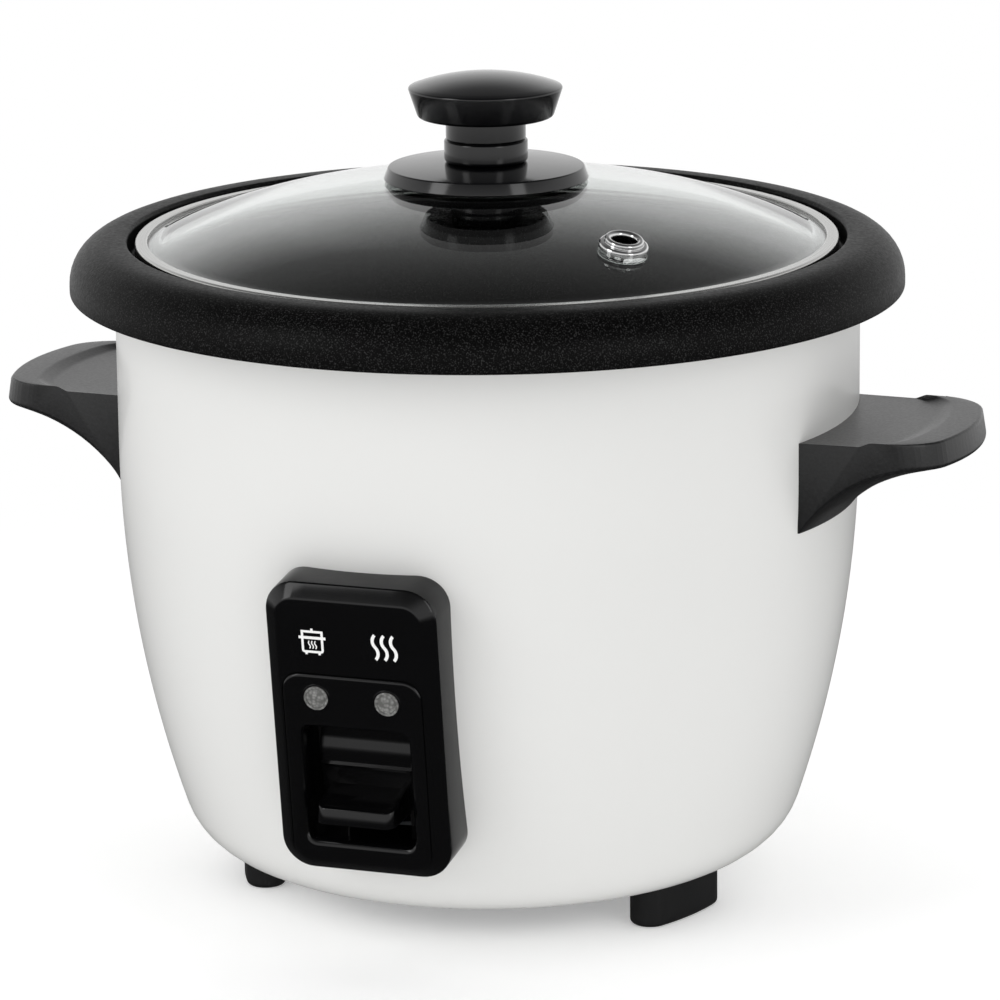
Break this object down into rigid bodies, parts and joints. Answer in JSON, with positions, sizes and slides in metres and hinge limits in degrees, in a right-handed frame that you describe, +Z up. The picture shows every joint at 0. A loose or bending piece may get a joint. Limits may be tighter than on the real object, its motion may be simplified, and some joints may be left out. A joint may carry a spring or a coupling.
{
  "type": "rice cooker",
  "caption": "Round electric rice cooker with a drop-in non-stick pot, domed glass lid with knob and steam vent, side handles and a front panel with one press lever.",
  "frame": {"origin": "middle of the base on the table, on the pot's axis", "axes": "+Z up, +X along the two side handles, the control panel faces -Y"},
  "size_m": [0.2772, 0.2278, 0.2261],
  "materials": {
    "white_enamel": "glossy white baked paint on drawn steel",
    "nonstick": "speckled dark non-stick coating on drawn aluminium",
    "liner_steel": "galvanised sheet",
    "cast_aluminium": "cast and turned",
    "steel": "plain steel",
    "stainless_band": "rolled stainless strip",
    "bright_metal": "bright plated",
    "tempered_glass": "clear tempered glass",
    "black_gloss": "gloss moulded",
    "black_grain": "fine moulded grain",
    "black_plastic": "satin moulded",
    "dark_rubber": "moulded silicone",
    "clear_lens": "translucent moulded lens",
    "lamp_glass": "lamp capsule",
    "ferrite": "sintered",
    "ceramic_white": "fired ceramic block",
    "brass": "plain brass"
  },
  "bodies": {
    "housing": {"outer_shell": "white_enamel", "base_plate": "steel", "foot_front_left": "black_plastic", "foot_front_right": "black_plastic", "foot_rear": "black_plastic", "foot_screws": "steel", "inner_liner": "liner_steel", "heating_plate": "cast_aluminium", "plate_screws": "steel", "heating_element": "steel", "thermostat_guide": "steel", "sensor_spring": "steel", "switch_bracket": "steel", "pivot_pin": "steel", "micro_switch": "black_plastic", "terminal_block": "ceramic_white", "thermal_fuse": "steel", "fuse_clip": "steel", "control_bezel": "black_gloss", "control_plate": "black_gloss", "cook_lens": "clear_lens", "warm_lens": "clear_lens", "cook_lamp": "lamp_glass", "warm_lamp": "lamp_glass", "lamp_holder": "black_plastic", "handle_left": "black_grain", "handle_right": "black_grain", "handle_screws": "steel", "power_inlet": "black_plastic", "inlet_pins": "brass"},
    "pot": {"cooking_pot": "nonstick", "pot_rim": "nonstick"},
    "lid": {"lid_glass": "tempered_glass", "lid_band": "stainless_band", "vent_eyelet": "bright_metal", "knob": "black_plastic", "knob_seat": "black_plastic", "knob_gasket": "dark_rubber", "knob_screw": "steel"},
    "sensor": {"sensor_cap": "cast_aluminium", "sensor_ferrite": "ferrite"},
    "magnet": {"magnet_rod": "steel", "lift_magnet": "ferrite"},
    "lever": {"switch_paddle": "black_gloss", "lever_arm": "steel"}
  },
  "joints": [
    {"name": "pot_lift", "type": "slide", "parent": "housing", "child": "pot", "axis": [0, 0, 1], "range_m": [0, 0.2]},
    {"name": "lid_lift", "type": "slide", "parent": "pot", "child": "lid", "axis": [0, 0, 1], "range_m": [0, 0.12]},
    {"name": "switch_press", "type": "hinge", "parent": "housing", "child": "lever", "pos_m": [0, -0.052, 0.036], "axis": [1, 0, 0], "range_deg": [0, 5.8], "stiffness_Nm_per_rad": 1.2, "springref_deg": -6.88},
    {"name": "magnet_rise", "type": "slide", "parent": "housing", "child": "magnet", "axis": [0, 0, 1], "range_m": [0, 0.0053]},
    {"name": "sensor_press", "type": "slide", "parent": "housing", "child": "sensor", "axis": [0, 0, 1], "range_m": [-0.001, 0], "stiffness_N_per_m": 600, "springref_m": 0.004, "deforming": ["sensor_spring"]}
  ],
  "couplings": [
    {"joint": "magnet_rise", "follows": "switch_press", "m_per_rad": 0.052}
  ]
}
